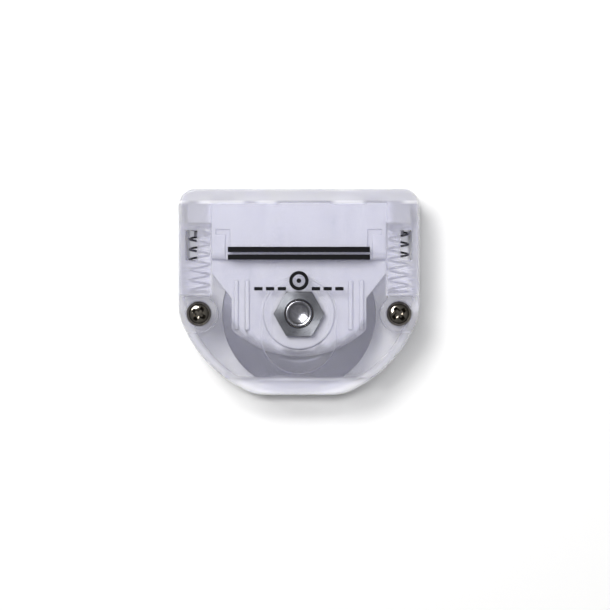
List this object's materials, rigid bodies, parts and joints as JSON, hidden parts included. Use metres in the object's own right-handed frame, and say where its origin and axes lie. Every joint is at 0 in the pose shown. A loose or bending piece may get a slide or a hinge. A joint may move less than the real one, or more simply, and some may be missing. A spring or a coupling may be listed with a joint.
{
  "type": "scoring wheel cartridge",
  "caption": "Clear D-shaped cartridge for a paper trimmer, with a sprung sliding carriage that pushes a blunt scoring wheel out through a slot in its rounded sole.",
  "frame": {"origin": "middle of the casing's outline, on its flat back face", "axes": "+X across the casing to the right as seen from the front, +Y from the sole to the top edge, +Z out of the front face along the wheel's axle"},
  "size_m": [0.0434, 0.0372, 0.013],
  "materials": {
    "clear_casing": "clear, faintly violet, polished",
    "frosted_carriage": "frosted, translucent",
    "wheel_steel": "dark, satin",
    "bush_bronze": "satin sintered bronze",
    "zinc_steel": "zinc plated, satin",
    "nickel_screw": "polished nickel",
    "spring_steel": "bright drawn wire"
  },
  "bodies": {
    "casing": {"front_shell": "clear_casing", "rear_shell": "clear_casing", "screw_left": "nickel_screw", "screw_right": "nickel_screw", "spring_left": "spring_steel", "spring_right": "spring_steel"},
    "carriage": {"carriage_front": "frosted_carriage", "carriage_back": "frosted_carriage", "dowel_left": "zinc_steel", "dowel_right": "zinc_steel", "axle_bolt": "zinc_steel", "axle_nut": "zinc_steel", "rear_spacer": "zinc_steel", "front_spacer": "zinc_steel"},
    "wheel": {"scoring_wheel": "wheel_steel", "wheel_bush": "bush_bronze"}
  },
  "joints": [
    {"name": "carriage_slide", "type": "slide", "parent": "casing", "child": "carriage", "axis": [0, -1, 0], "range_m": [0, 0.004], "stiffness_N_per_m": 1000, "springref_m": -0.003, "deforming": ["spring_left", "spring_right"]},
    {"name": "wheel_spin", "type": "hinge", "parent": "carriage", "child": "wheel", "pos_m": [0, -0.00398, 0.0062], "axis": [0, 0, 1], "continuous": true}
  ]
}
